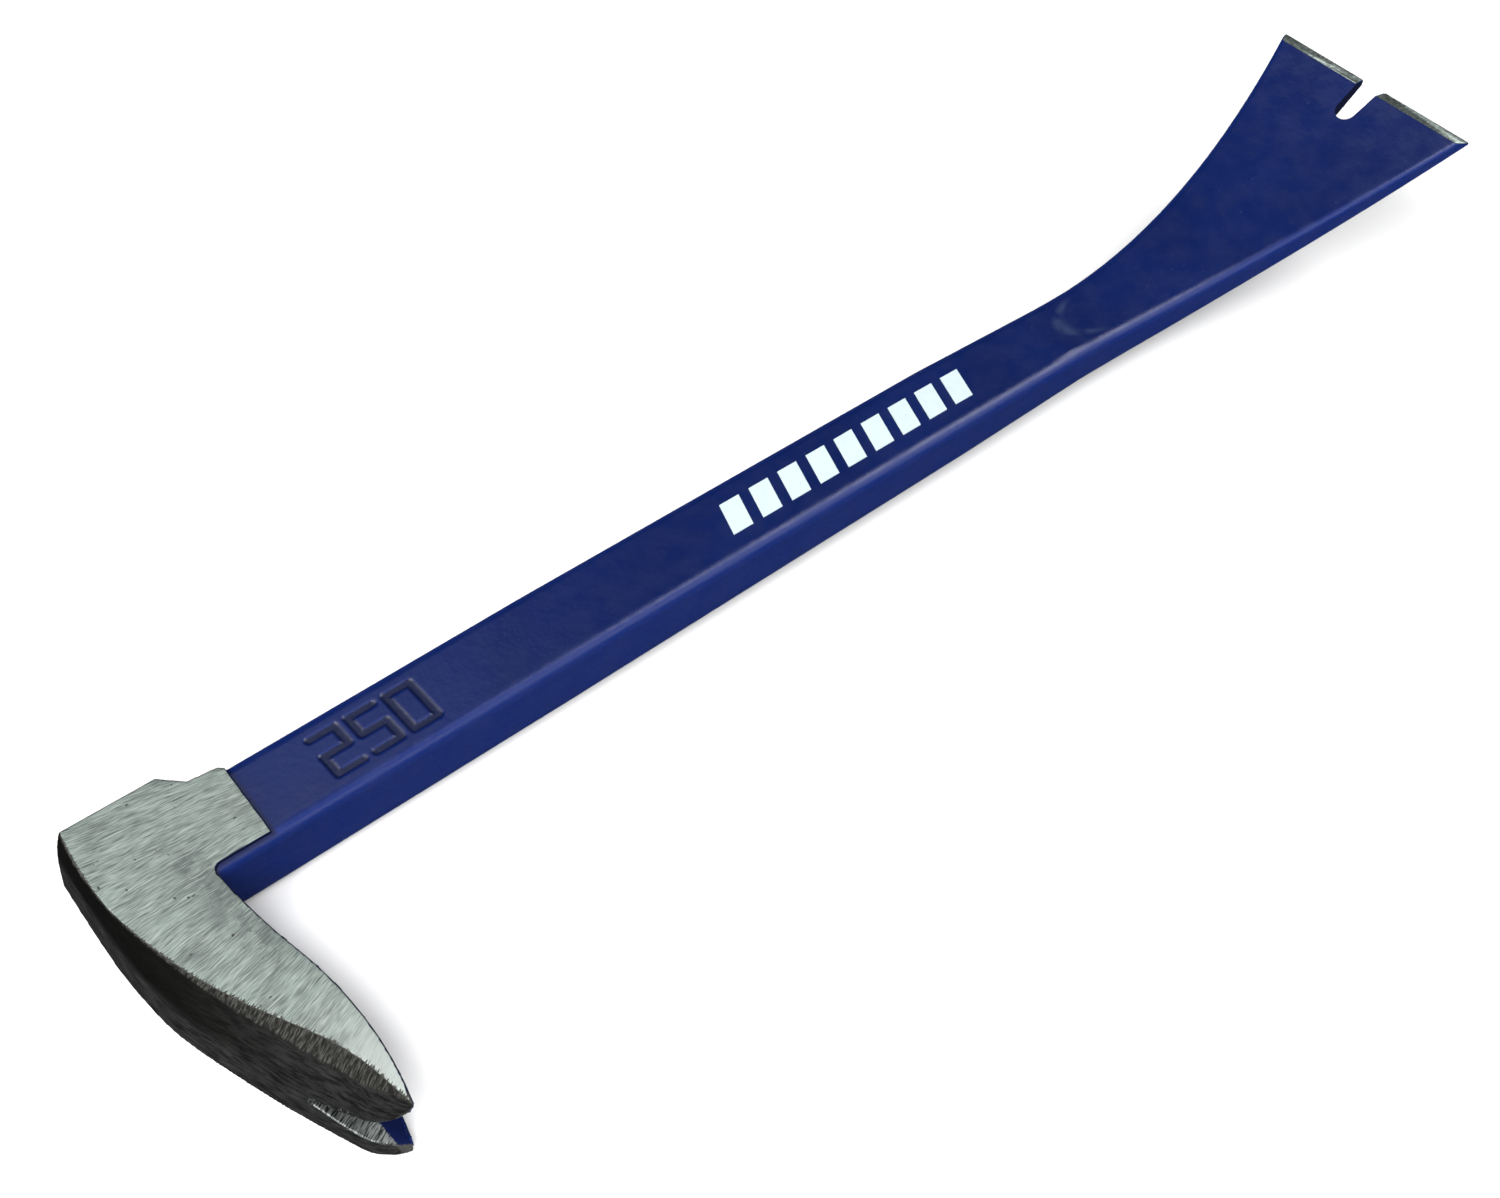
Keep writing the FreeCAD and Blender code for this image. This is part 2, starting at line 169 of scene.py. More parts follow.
# ---------------------------------------------------------------- materials
class Shader:
    """One material's node tree, with a short method for each kind of node."""

    def __init__(self, name):
        self.material = bpy.data.materials.new(name)
        self.material.use_nodes = True
        self.tree = self.material.node_tree
        self.tree.nodes.clear()
        self.surface = self.node("ShaderNodeBsdfPrincipled")
        output = self.node("ShaderNodeOutputMaterial")
        self.tree.links.new(self.surface.outputs[0], output.inputs[0])
        where = self.node("ShaderNodeTexCoord").outputs["Object"]
        scaled = self.vector("SCALE", where, scale=1 / MM)
        self.where = self.vector("SUBTRACT", scaled, tuple(ORIGIN))
        parts = self.node("ShaderNodeSeparateXYZ")
        self.put(parts.inputs[0], self.where)
        self.x, self.y, self.z = parts.outputs[:3]
        facing = self.node("ShaderNodeSeparateXYZ")
        self.put(facing.inputs[0], self.node("ShaderNodeNewGeometry").outputs["Normal"])
        self.facing_x, self.facing_y, self.facing_z = facing.outputs[:3]

    def node(self, kind, **settings):
        made = self.tree.nodes.new(kind)
        for name, value in settings.items():
            setattr(made, name, value)
        return made

    def put(self, socket, value):
        if isinstance(value, bpy.types.NodeSocket):
            self.tree.links.new(value, socket)
        else:
            socket.default_value = value

    def vector(self, operation, first, second=None, scale=None):
        made = self.node("ShaderNodeVectorMath", operation=operation)
        self.put(made.inputs[0], first)
        if second is not None:
            self.put(made.inputs[1], second)
        if scale is not None:
            self.put(made.inputs["Scale"], scale)
        return made.outputs["Value" if operation == "LENGTH" else "Vector"]

    def math(self, operation, *values, clamp=False):
        made = self.node("ShaderNodeMath", operation=operation, use_clamp=clamp)
        for socket, value in zip(made.inputs, values):
            self.put(socket, value)
        return made.outputs[0]

    def attribute(self, name):
        return self.node("ShaderNodeAttribute", attribute_name=name).outputs["Fac"]

    def combine(self, x, y, z):
        made = self.node("ShaderNodeCombineXYZ")
        for socket, value in zip(made.inputs, (x, y, z)):
            self.put(socket, value)
        return made.outputs[0]

    def noise(self, where, scale, detail=2.0, roughness=0.5):
        made = self.node("ShaderNodeTexNoise")
        self.put(made.inputs["Vector"], where)
        self.put(made.inputs["Scale"], scale)
        self.put(made.inputs["Detail"], detail)
        self.put(made.inputs["Roughness"], roughness)
        return made.outputs[0]

    def share(self, value, start, end, low=0.0, high=1.0):
        """Smooth step of a value between start and end."""
        made = self.node("ShaderNodeMapRange", interpolation_type="SMOOTHSTEP")
        for socket, number in zip(made.inputs, (value, start, end, low, high)):
            self.put(socket, number)
        return made.outputs[0]

    def mix(self, share, first, second):
        """Colour between first and second."""
        made = self.node("ShaderNodeMix", data_type="RGBA")
        self.put(made.inputs["Factor"], share)
        colours = [socket for socket in made.inputs if socket.type == "RGBA"]
        for socket, value in zip(colours, (first, second)):
            self.put(socket, value if isinstance(value, bpy.types.NodeSocket) else (*value, 1.0))
        return [socket for socket in made.outputs if socket.type == "RGBA"][0]

    def blend(self, share, first, second):
        """Number between first and second."""
        made = self.node("ShaderNodeMix", data_type="FLOAT")
        floats = [socket for socket in made.inputs if socket.type == "VALUE"]
        for socket, value in zip(floats, (share, first, second)):
            self.put(socket, value)
        return made.outputs[0]

    def bump(self, height, distance, strength=1.0):
        """Bump from a height whose full swing is distance millimetres."""
        made = self.node("ShaderNodeBump")
        self.put(made.inputs["Height"], height)
        self.put(made.inputs["Distance"], distance * MM)
        self.put(made.inputs["Strength"], strength)
        self.put(self.surface.inputs["Normal"], made.outputs[0])

    def set(self, **values):
        for name, value in values.items():
            self.put(self.surface.inputs[name.replace("_", " ")], value)
        return self.material


BLUE = (0.0011, 0.0084, 0.070)
BLUE_DARK = (0.0009, 0.0073, 0.061)
BLUE_LIT_SIDE = (0.0014, 0.0130, 0.113)      # painted light: edges and sides that face the lamps are a lighter blue
BLUE_SCUFFED = (0.012, 0.026, 0.100)
BLUE_SHADE_AND_THICK_ENAMEL = (0.0007, 0.0030, 0.022)      # painted shade in the stamped strokes, the slot and the corner lines, with thick enamel too in the strokes and along the corners


TOP_LEVEL = 11.35                # the shank's painted top, where the taper starts
TOP_RISE = 0.0123                # and its rise per millimetre towards the blade
STAMP_REACH = 56.0               # the stamped digits lie before this place
STAMP_SIDE = 4.6                 # and this close to the centre line
STEP_PLACE = 22.9                # the enamel's edge at the ground head
STEP_SLANT = 0.065
BLADE_SLOT_START = 243.0
BLADE_SLOT_SIDE = 3.0
NECK_HIGHLIGHT_PLACE = 177.5              # the pale painted highlight at the neck, a curve across the shank
NECK_HIGHLIGHT_CURVE = 0.30
NECK_HIGHLIGHT_COLOUR = (0.045, 0.070, 0.13)


def enamel():
    """Satin-gloss blue enamel with orange peel, dust specks and a little scuffing."""
    shader = Shader("blue_enamel")
    cloud = shader.noise(shader.where, 0.06, 3.0)
    colour = shader.mix(shader.share(cloud, 0.35, 0.65), BLUE_DARK, BLUE)
    sideways = shader.math("ABSOLUTE", shader.facing_y)
    # Painted light: the enamel is a lighter blue where it faces sideways, on the edges and sides.
    colour = shader.mix(shader.share(sideways, 0.12, 0.6), colour, BLUE_LIT_SIDE)
    speck = shader.share(shader.noise(shader.where, 1.6, 1.0), 0.73, 0.80)
    long_way = shader.vector("MULTIPLY", shader.where, (0.35, 2.2, 2.2))
    scuff = shader.share(shader.noise(long_way, 1.4, 4.0, 0.7), 0.64, 0.78)
    patches = shader.share(shader.noise(shader.where, 0.11, 2.0), 0.5, 0.7)
    worn = shader.math("MULTIPLY", scuff, patches)
    colour = shader.mix(shader.math("MULTIPLY", worn, 0.30), colour, BLUE_SCUFFED)
    colour = shader.mix(shader.math("MULTIPLY", speck, 0.35), colour, BLUE_SCUFFED)
    # Painted shade in the stamped strokes, beside the ground step and on the slot's walls; thick dark enamel
    # adds to it in the strokes and at the step
    past_taper = shader.math("SUBTRACT", shader.x, TAPER_START)
    face_level = shader.math("ADD", TOP_LEVEL, shader.math("MULTIPLY", TOP_RISE, past_taper))
    sunk = shader.math("SUBTRACT", face_level, shader.z)
    stamped = shader.math("MULTIPLY", shader.share(sunk, 0.02, 0.16),
                          shader.share(shader.facing_z, 0.3, 0.6))
    on_flat = shader.math("MULTIPLY", shader.math("LESS_THAN", shader.x, STAMP_REACH),
                          shader.math("LESS_THAN", sideways, 0.5))
    from_centre = shader.math("ABSOLUTE", shader.y)
    on_flat = shader.math("MULTIPLY", on_flat, shader.math("LESS_THAN", from_centre, STAMP_SIDE))
    shade_and_pooling = shader.math("MULTIPLY", shader.math("MULTIPLY", stamped, on_flat), 0.85)
    step = shader.math("ADD", STEP_PLACE, shader.math("MULTIPLY", shader.y, STEP_SLANT))
    from_step = shader.math("SUBTRACT", shader.x, step)
    step_line = shader.math("MULTIPLY", shader.share(from_step, 0.75, 0.15),
                            shader.share(shader.facing_z, 0.5, 0.9))
    shade_and_pooling = shader.math("MAXIMUM", shade_and_pooling, shader.math("MULTIPLY", step_line, 0.8))
    # Painted shade on the upright walls of the blade's slot.
    in_slot = shader.math("MULTIPLY", shader.math("GREATER_THAN", shader.x, BLADE_SLOT_START),
                          shader.math("LESS_THAN", from_centre, BLADE_SLOT_SIDE))
    upright = shader.share(shader.math("ABSOLUTE", shader.facing_z), 0.6, 0.4)
    wall = shader.math("MULTIPLY", in_slot, upright)
    shade_and_pooling = shader.math("MAXIMUM", shade_and_pooling, shader.math("MULTIPLY", wall, 0.9))
    colour = shader.mix(shade_and_pooling, colour, BLUE_SHADE_AND_THICK_ENAMEL)
    # Painted highlight where the shank's flat face runs into the dished blade
    curve = shader.math("MULTIPLY", shader.math("POWER", shader.y, 2.0), NECK_HIGHLIGHT_CURVE)
    bend = shader.math("ADD", NECK_HIGHLIGHT_PLACE, curve)
    off_bend = shader.math("ABSOLUTE", shader.math("SUBTRACT", shader.x, bend))
    neck_highlight = shader.math("MULTIPLY", shader.share(off_bend, 2.2, 0.1),
                          shader.share(shader.facing_z, 0.85, 0.95))
    neck_highlight = shader.math("MULTIPLY", neck_highlight, shader.share(shader.noise(shader.where, 0.3, 3.0), 0.3, 0.6))
    neck_highlight = shader.math("MULTIPLY", neck_highlight, shader.share(from_centre, 5.0, 3.0))
    colour = shader.mix(shader.math("MULTIPLY", neck_highlight, 0.35), colour, NECK_HIGHLIGHT_COLOUR)
    peel = shader.noise(shader.where, 0.9, 2.0)
    fine = shader.noise(shader.where, 5.0, 2.0)
    height = shader.math("ADD", shader.math("MULTIPLY", peel, 0.70), shader.math("MULTIPLY", fine, 0.28))
    height = shader.math("ADD", height, shader.math("MULTIPLY", speck, 0.25))
    shader.bump(height, 0.07)
    rough = shader.share(shader.noise(shader.where, 0.25, 3.0), 0.3, 0.7, 0.30, 0.40)
    rough = shader.math("ADD", rough, shader.math("MULTIPLY", worn, 0.15))
    return shader.set(Base_Color=colour, Roughness=rough)


def ink():
    """White printed ink, a little uneven, with worn pinholes."""
    shader = Shader("white_ink")
    holes = shader.share(shader.noise(shader.where, 4.0, 2.0), 0.70, 0.76)
    cloud = shader.noise(shader.where, 0.8, 3.0)
    colour = shader.mix(cloud, (0.47, 0.56, 0.58), (0.55, 0.64, 0.66))
    colour = shader.mix(shader.math("MULTIPLY", holes, 0.7), colour, (0.05, 0.08, 0.20))
    shader.bump(shader.noise(shader.where, 3.0, 2.0), 0.02)
    return shader.set(Base_Color=colour, Roughness=0.42)


STEEL_DARK = (0.225, 0.268, 0.247)
STEEL_LIGHT = (0.53, 0.615, 0.572)
# the ground face's painted reflection towards the claw's tips
STEEL_TIP_SHEEN = (0.84, 0.90, 0.87)
STEEL_CLOUD = (0.17, 0.185, 0.18)
SHADE_PATCH_COLOUR = (0.13, 0.15, 0.145)
SHADE_PATCH_PLACE = 11.7              # the painted shade beside the inner corner, along a slanted line
SHADE_PATCH_SLANT = -0.1


def bare_steel():
    """Ground faces, forge scale, the claw's second bevel and the sawn slot, by place and facing."""
    shader = Shader("forged_steel")
    # Polar coordinates about the rocker's centre: grinding scratches run across the rocker.
    across = shader.math("SUBTRACT", shader.x, ROCKER_RADIUS)
    along = shader.math("SUBTRACT", shader.y, ROCKER_CROWN_SIDE)
    reach = shader.math("SQRT", shader.math("ADD", shader.math("POWER", across, 2.0),
                                            shader.math("POWER", along, 2.0)))
    turn = shader.math("ARCTAN2", along, shader.math("MULTIPLY", across, -1.0))
    arc = shader.math("MULTIPLY", turn, ROCKER_RADIUS)
    depth = shader.math("SUBTRACT", ROCKER_RADIUS, reach)
    wobble = shader.math("MULTIPLY", shader.noise(shader.where, 0.15, 2.0), 1.2)
    grain_place = shader.combine(shader.math("MULTIPLY", depth, 0.07),
                                 shader.math("ADD", arc, wobble), shader.z)
    fine = shader.noise(grain_place, 5.4, 2.0, 0.65)
    cloudy = shader.noise(shader.vector("MULTIPLY", grain_place, (2.0, 0.5, 1.0)), 1.2, 2.0, 0.6)
    grain = shader.math("ADD", shader.math("MULTIPLY", fine, 0.75), shader.math("MULTIPLY", cloudy, 0.25))

    from_middle = shader.math("ABSOLUTE", shader.math("SUBTRACT", shader.z, HEAD_THICKNESS / 2))
    ground = shader.share(from_middle, HEAD_THICKNESS / 2 - 0.16, HEAD_THICKNESS / 2 - 0.08)
    level = shader.share(shader.math("ABSOLUTE", shader.facing_z), 0.95, 0.99)
    strip_place = shader.combine(arc, shader.math("MULTIPLY", shader.z, 0.3), 0.0)
    strip_grain = shader.noise(strip_place, 4.0, 3.0, 0.7)
    bite = shader.math("MULTIPLY", shader.math("SUBTRACT", strip_grain, 0.42),
                       shader.share(shader.y, -6.0, -30.0, 0.8, 3.0))
    kept = shader.share(shader.math("SUBTRACT", shader.attribute("edge_gap"), bite), 0.0, 0.12)
    ground = shader.math("MULTIPLY", ground, shader.math("MULTIPLY", level, kept))
    edge = shader.math("GREATER_THAN", shader.x, 200.0)
    poll = shader.math("GREATER_THAN", shader.facing_y, 0.8)
    rocker = shader.share(shader.facing_x, -0.35, -0.45)

    # Ground steel
    cloud = shader.noise(shader.where, 0.16, 3.0)
    bright = shader.mix(shader.share(grain, 0.34, 0.64), STEEL_DARK, STEEL_LIGHT)
    # Painted reflection: the ground face is lighter towards the claw's tips.
    tip_sheen = shader.share(shader.y, -26.0, -46.0)
    bright = shader.mix(shader.math("MULTIPLY", tip_sheen, 0.75), bright, STEEL_TIP_SHEEN)
    clouded = shader.math("MULTIPLY", shader.share(cloud, 0.52, 0.66), 0.35)
    bright = shader.mix(clouded, bright, STEEL_CLOUD)
    # Painted shade: a darker patch on the ground face beside the inner corner
    shade_line = shader.math("ADD", SHADE_PATCH_PLACE, shader.math("MULTIPLY", shader.y, SHADE_PATCH_SLANT))
    off_line = shader.math("ABSOLUTE", shader.math("SUBTRACT", shader.x, shade_line))
    shade_patch = shader.math("MULTIPLY", shader.share(off_line, 4.0, 0.5), shader.share(shader.y, 3.0, -5.0))
    shade_patch = shader.math("MULTIPLY", shade_patch, shader.share(shader.y, -27.0, -19.0))
    shade_patch_noise = shader.share(shader.noise(shader.where, 0.5, 4.0, 0.6), 0.3, 0.6)
    shade_patch = shader.math("MULTIPLY", shade_patch, shade_patch_noise)
    bright = shader.mix(shader.math("MULTIPLY", shade_patch, 0.55), bright, SHADE_PATCH_COLOUR)
    streak_place = shader.vector("MULTIPLY", grain_place, (0.8, 1.0, 1.0))
    streak = shader.share(shader.noise(streak_place, 4.4, 1.0), 0.62, 0.72)
    bright = shader.mix(shader.math("MULTIPLY", streak, 0.6), bright, (0.72, 0.77, 0.74))
    nick_place = shader.vector("ADD", streak_place, (9.0, 3.0, 0.0))
    nick = shader.share(shader.noise(nick_place, 3.6, 2.0), 0.65, 0.72)
    bright = shader.mix(shader.math("MULTIPLY", nick, 0.65), bright, (0.07, 0.08, 0.075))
    pit = shader.share(shader.noise(shader.where, 1.1, 2.0), 0.71, 0.76)
    bright = shader.mix(shader.math("MULTIPLY", pit, 0.8), bright, (0.05, 0.05, 0.045))

    # Forge scale, with grain along the rocker
    scale_place = shader.combine(shader.math("MULTIPLY", arc, 0.12), shader.z,
                                 shader.math("MULTIPLY", depth, 0.5))
    scale_grain = shader.noise(scale_place, 3.2, 4.0, 0.7)
    scale = shader.mix(shader.share(scale_grain, 0.36, 0.66), (0.004, 0.0042, 0.004), (0.028, 0.029, 0.028))
    # Painted shade: the rocker is near black along its upper part, lighter lower down and towards the tips.
    upper_shade = shader.math("ADD", shader.z, shader.math("MULTIPLY", scale_grain, 1.6))
    upper_shade = shader.math("MULTIPLY", shader.share(upper_shade, 5.9, 8.6),
                        shader.share(shader.y, -40.0, -14.0, 0.35, 0.94))
    scale = shader.mix(upper_shade, scale, (0.0015, 0.0015, 0.0013))
    other = shader.mix(shader.noise(shader.where, 0.8, 4.0, 0.7), (0.02, 0.02, 0.019), (0.08, 0.08, 0.075))

    # Second ground bevel, beside the upper face
    below = shader.math("SUBTRACT", HEAD_THICKNESS, shader.z)
    width = shader.share(shader.y, -7.0, -36.0, 0.1, 1.35)
    width = shader.math("MULTIPLY", width, shader.share(shader.y, -46.5, -39.0, 0.15, 1.0))
    ragged = shader.math("MULTIPLY", shader.noise(shader.where, 1.8, 4.0, 0.7), 0.5)
    strip = shader.share(shader.math("SUBTRACT", shader.math("ADD", width, ragged), below), 0.15, 0.4)
    strip = shader.math("MULTIPLY", strip, rocker)
    strip_colour = shader.mix(shader.share(strip_grain, 0.42, 0.68), (0.009, 0.009, 0.008),
                              (0.060, 0.060, 0.054))

    # Sawn slot between the prongs, painted deeper in
    inside = shader.attribute("slot_wall")
    painted = shader.share(shader.math("ADD", depth, shader.math("MULTIPLY", ragged, 1.2)),
                           shader.share(shader.y, -47.0, -38.5, 1.5, 4.2),
                           shader.share(shader.y, -47.0, -38.5, 1.8, 4.5))
    sawn = shader.mix(shader.share(fine, 0.40, 0.60), (0.02, 0.022, 0.022), (0.22, 0.235, 0.23))
    # The countersink's blue enamel, darkened here as painted shade deep in the slot.
    walls = shader.mix(painted, sawn, (0.0010, 0.0045, 0.036))

    lip = shader.math("MAXIMUM", shader.share(shader.facing_x, 0.12, 0.4),
                      shader.share(shader.facing_y, -0.12, -0.4))
    lip = shader.math("MULTIPLY", lip, shader.share(shader.y, -45.6, -44.6))
    colour = shader.mix(rocker, shader.mix(lip, other, BLUE_SHADE_AND_THICK_ENAMEL), scale)
    colour = shader.mix(strip, colour, strip_colour)
    flat = shader.math("MAXIMUM", ground, shader.math("MAXIMUM", poll, edge))
    colour = shader.mix(flat, colour, bright)
    colour = shader.mix(inside, colour, walls)
    paint_share = shader.math("MULTIPLY", inside, painted)
    shiny = shader.math("MAXIMUM", flat, shader.math("MULTIPLY", strip, 0.4))
    shiny = shader.math("MAXIMUM", shiny, shader.math("SUBTRACT", inside, paint_share))
    metal = shader.math("MULTIPLY", shiny, 0.9)
    rough = shader.blend(shiny, 0.72, shader.share(grain, 0.3, 0.7, 0.38, 0.50))
    height = shader.blend(flat, scale_grain, grain)
    shader.bump(height, 0.035)
    return shader.set(Base_Color=colour, Roughness=rough, Metallic=metal, Specular_IOR_Level=0.07)


# ---------------------------------------------------------------- forged steel
STUB_END = 36.0                  # the head's fine mesh runs this far along the shank
HEAD_VOXEL = 0.2


def cad_copy(node, keep_before=None, keep_after=None):
    """Copy of a CAD node's mesh, cut square across X and closed again."""
    cut_x = place([(keep_before or keep_after, 0, 0)])[0][0]
    work = bmesh.new()
    work.from_mesh(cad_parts[node].data)
    bmesh.ops.remove_doubles(work, verts=work.verts, dist=1e-6)
    everything = work.verts[:] + work.edges[:] + work.faces[:]
    bmesh.ops.bisect_plane(work, geom=everything, plane_co=(cut_x, 0, 0), plane_no=(1, 0, 0),
                           clear_outer=keep_before is not None, clear_inner=keep_after is not None)
    open_edges = [edge for edge in work.edges if edge.is_boundary]
    bmesh.ops.holes_fill(work, edges=open_edges, sides=0)
    mesh = bpy.data.meshes.new(node + "_copy")
    work.to_mesh(mesh)
    work.free()
    return mesh


SLOT_APEX_Y = -36.9
SLOT_APEX_HALF = 0.35
SLOT_ABOVE = 2.1
SLOT_BELOW = 3.6
SLOT_RUN = 11.5
SINK_START = 2.6
SINK_DEPTH = 14.0
SINK_APEX_HALF = 3.2
SINK_MOUTH_HALF = 7.6
SINK_BACK = 2.5


def on_slot_wall(design, facing):
    """Which points lie on the walls of the claw's nail slot and its countersink."""
    middle = HEAD_THICKNESS / 2
    apex_x = arc_rise(abs(SLOT_APEX_Y - ROCKER_CROWN_SIDE), ROCKER_RADIUS)
    apex = np.array((apex_x, SLOT_APEX_Y, middle))
    through = np.array((ROCKER_RADIUS, ROCKER_CROWN_SIDE, middle)) - apex
    through /= np.linalg.norm(through)
    along = np.array((through[1], -through[0], 0.0))
    depth = (design - apex) @ through
    run = (design - apex) @ along
    down = middle - design[:, 2]
    open_end = np.where(down > 0, SLOT_BELOW, SLOT_ABOVE)
    near = SLOT_APEX_HALF + (open_end - SLOT_APEX_HALF) * run / SLOT_RUN
    far = SINK_APEX_HALF + (SINK_MOUTH_HALF - SINK_APEX_HALF) * (run + SINK_BACK) / (SLOT_RUN + SINK_BACK)
    sunk = blend(depth, SINK_START, SINK_DEPTH)
    half = near * (1 - sunk) + far * sunk
    wall = (np.abs(np.abs(down) - half) < 0.45) & (np.abs(facing[:, 2]) > 0.35)
    wall &= run > -0.3 - SINK_BACK * sunk
    end = (np.abs(run + SINK_BACK * sunk) < 0.45) & (np.abs(down) < half + 0.2)
    inside = np.abs(design[:, 2] - middle) < middle - 0.35
    return (wall | end) & inside


# The upper ground face's edge on the rocker side: where along Y, and how far behind the arc.
GROUND_EDGE = [(-47.3, 2.6), (-44.9, 3.55), (-40.0, 5.2), (-34.3, 5.8), (-26.3, 4.3), (-18.4, 2.6),
               (-3.0, 0.5), (10.5, 0.9)]


def mark_steel(mesh):
    """Point attributes for the steel's material: slot walls, and distance from the ground edge."""
    design = coordinates(mesh) / MM - np.array(ORIGIN)
    from_crown = np.clip(design[:, 1] - ROCKER_CROWN_SIDE, -60, 60)
    edge_x = arc_rise(np.abs(from_crown), ROCKER_RADIUS) + np.interp(design[:, 1], *zip(*GROUND_EDGE))
    # The underside is ground to the very edge.
    gap = np.where(design[:, 2] > HEAD_THICKNESS / 2, design[:, 0] - edge_x, 9.0)
    for name, values in (("slot_wall", on_slot_wall(design, normals(mesh))), ("edge_gap", gap)):
        attribute = mesh.attributes.new(name, "FLOAT", "POINT")
        attribute.data.foreach_set("value", values.astype(np.float32))


TIP_ROUNDING = 36                # smoothing passes over the prongs' tips


def round_tips(piece):
    """Round the two prongs' tips."""
    group = piece.vertex_groups.new(name="tips")
    design_y = coordinates(piece.data)[:, 1] / MM - ORIGIN.y
    share = smooth((-design_y - CLAW_REACH + 3.2) / 2.0)
    for index in np.nonzero(share > 0.01)[0]:
        group.add([int(index)], float(share[index]), "REPLACE")
    soften = piece.modifiers.new("tips", "SMOOTH")
    soften.factor = 0.5
    soften.iterations = TIP_ROUNDING
    soften.vertex_group = group.name
    apply_modifiers(piece)


def forged_head():
    """The head as a fine mesh: softened edges, forge waviness and a sawn slot."""
    piece = make_object("forged_steel_head", cad_copy("forged_bar", keep_before=STUB_END))
    remesh = piece.modifiers.new("fine", "REMESH")
    remesh.mode = "VOXEL"
    remesh.voxel_size = HEAD_VOXEL * MM
    soften = piece.modifiers.new("soften", "SMOOTH")
    soften.factor = 0.5
    soften.iterations = 2
    apply_modifiers(piece)
    round_tips(piece)
    points = coordinates(piece.data)
    facing = normals(piece.data)
    design = points / MM - np.array(ORIGIN)
    on_rocker = smooth((-facing[:, 0] - 0.2) / 0.3)
    off_ground = 1 - smooth((np.abs(facing[:, 2]) - 0.75) / 0.2)
    wave = 0.06 * noise_at(design, 0.16, 1) + 0.02 * noise_at(design, 0.7, 2)
    saw = 0.04 * noise_at(design * np.array((0.5, 0.5, 1.5)), 1.5, 3)
    lift = wave * np.maximum(on_rocker, 0.4) * off_ground - 0.03 * on_rocker
    lift = np.where(on_slot_wall(design, facing), saw, lift)
    move_points(piece.data, points + facing * (lift * MM)[:, None])
    return piece


def forged_core():
    """The rest of the forging, inside the enamel up to the bare blade edge."""
    return make_object("forged_steel_core", cad_copy("forged_bar", keep_after=STUB_END))


def join(pieces, name):
    """One object of several meshes."""
    work = bmesh.new()
    for piece in pieces:
        work.from_mesh(piece.data)
    mesh = bpy.data.meshes.new(name)
    work.to_mesh(mesh)
    work.free()
    for piece in pieces:
        bpy.data.objects.remove(piece)
    return make_object(name, mesh)


# ---------------------------------------------------------------- blue enamel
STAMP_START = 34.2
STAMP_PITCH = 6.0
STAMP_WIDTH = 3.9
STAMP_HEIGHT = 6.6
STAMP_DEPTH = 0.26
STAMP_FLOOR = 0.35               # half width of a stroke's flat floor
STAMP_HALF_STROKE = 0.85
# Each stroke of a plain digit: start and end as shares of the digit's width and height.
TOP, UPPER_LEFT, UPPER_RIGHT = (0, 1, 1, 1), (0, 0.5, 0, 1), (1, 0.5, 1, 1)
MIDDLE, LOWER_LEFT, LOWER_RIGHT, BASE = (0, 0.5, 1, 0.5), (0, 0, 0, 0.5), (1, 0, 1, 0.5), (0, 0, 1, 0)
DIGITS = {
    "2": [TOP, UPPER_RIGHT, MIDDLE, LOWER_LEFT, BASE],
    "5": [TOP, UPPER_LEFT, MIDDLE, LOWER_RIGHT, BASE],
    "0": [TOP, UPPER_LEFT, UPPER_RIGHT, LOWER_LEFT, LOWER_RIGHT, BASE],
}
SIZE_NUMBER = "250"


def stamp_distance(x, y):
    """Distance of points on the upper face from the nearest stamped stroke."""
    nearest = np.full(np.shape(x), 99.0)
    for number, digit in enumerate(SIZE_NUMBER):
        left = STAMP_START + number * STAMP_PITCH
        for x1, y1, x2, y2 in DIGITS[digit]:
            start = np.array((left + x1 * STAMP_WIDTH, (y1 - 0.5) * STAMP_HEIGHT))
            run = np.array(((x2 - x1) * STAMP_WIDTH, (y2 - y1) * STAMP_HEIGHT))
            share = ((x - start[0]) * run[0] + (y - start[1]) * run[1]) / (run @ run)
            share = np.clip(share, 0.0, 1.0)
            gap = np.hypot(x - start[0] - share * run[0], y - start[1] - share * run[1])
            nearest = np.minimum(nearest, gap)
    return nearest


def relief(x, y):
    """Height of the enamel's upper face over the plain section."""
    gap = stamp_distance(x, y)
    groove = -STAMP_DEPTH * smooth((STAMP_HALF_STROKE - gap) / (STAMP_HALF_STROKE - STAMP_FLOOR))
    # A soft ridge where the shank's flat face runs into the dished blade.
    bend = NECK - 14 + 0.35 * y ** 2 / 3
    ridge = 0.16 * np.exp(-((x - bend) / 3.2) ** 2) * smooth((x - 150) / 15)
    return groove + ridge


ENAMEL_START = 12.0
FLAT_STEPS = 60
CORNER_STEPS = 6
SIDE_STEPS = 12
UNDER_STEPS = 24


def enamel_stations():
    """Places along X: fine at the stamp, coarser along the shank."""
    spans = [(ENAMEL_START, 32.0, 1.0), (32.0, 53.0, 0.2), (53.0, 150.0, 1.5), (150.0, 256.0, 0.8)]
    stations = []
    for start, end, step in spans:
        stations += list(np.arange(start, end, step))
    return np.array(stations)


